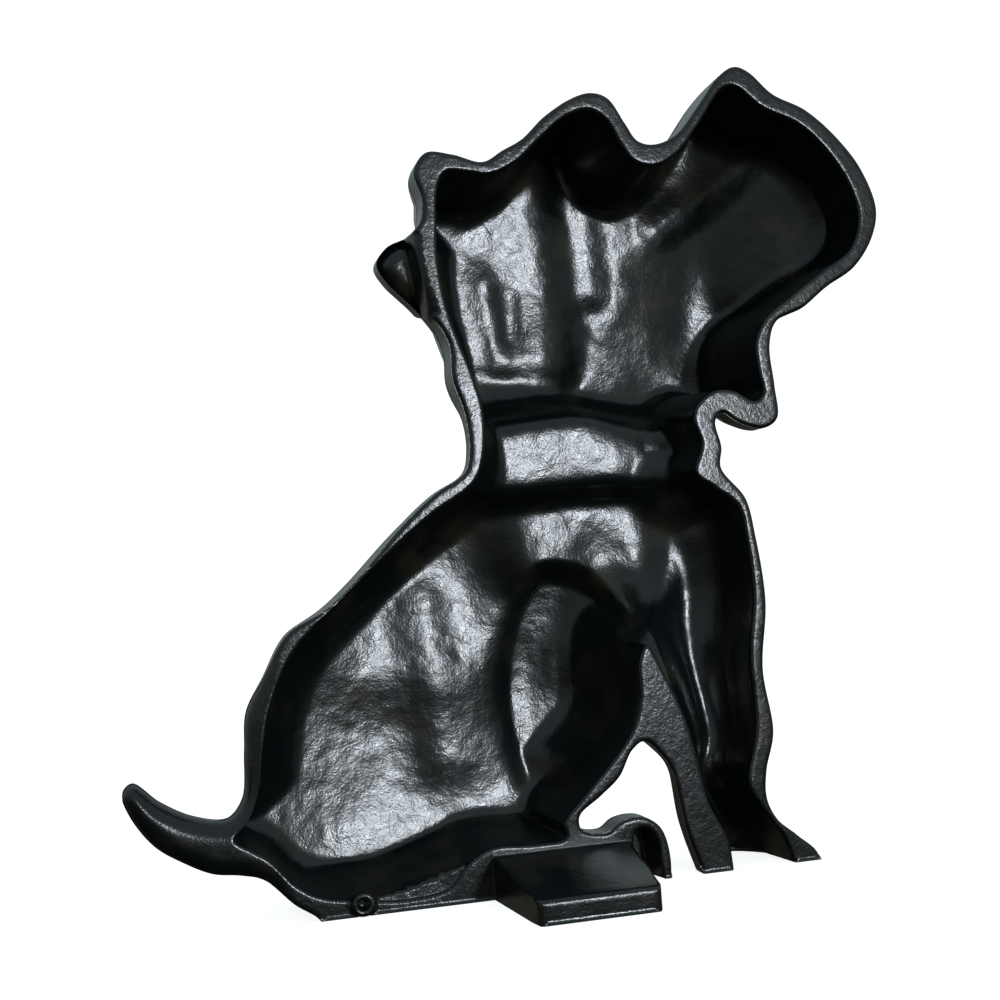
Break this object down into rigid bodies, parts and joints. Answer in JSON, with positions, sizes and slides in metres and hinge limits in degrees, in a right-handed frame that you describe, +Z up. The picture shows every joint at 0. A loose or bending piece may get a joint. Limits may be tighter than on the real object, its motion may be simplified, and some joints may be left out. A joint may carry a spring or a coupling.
{
  "type": "cast iron dog doorstop statue",
  "caption": "Seated pup statue of the doorstop kind: deep relief in front, hollow and open at the back, with a low wedge foot.",
  "frame": {"origin": "centre of the bounding box's bottom, on the surface the dog stands on", "axes": "+Z up, -Y the way the dog's relief faces, +Y out of the open back and along the wedge foot, +X towards the tail"},
  "size_m": [0.212, 0.088, 0.2159],
  "materials": {
    "black_enamel": "gloss black enamel over rough cast iron, worn brown at edges, a few rust chips and grey dust"
  },
  "bodies": {
    "root": {"dog_casting": "black_enamel"}
  },
  "joints": []
}
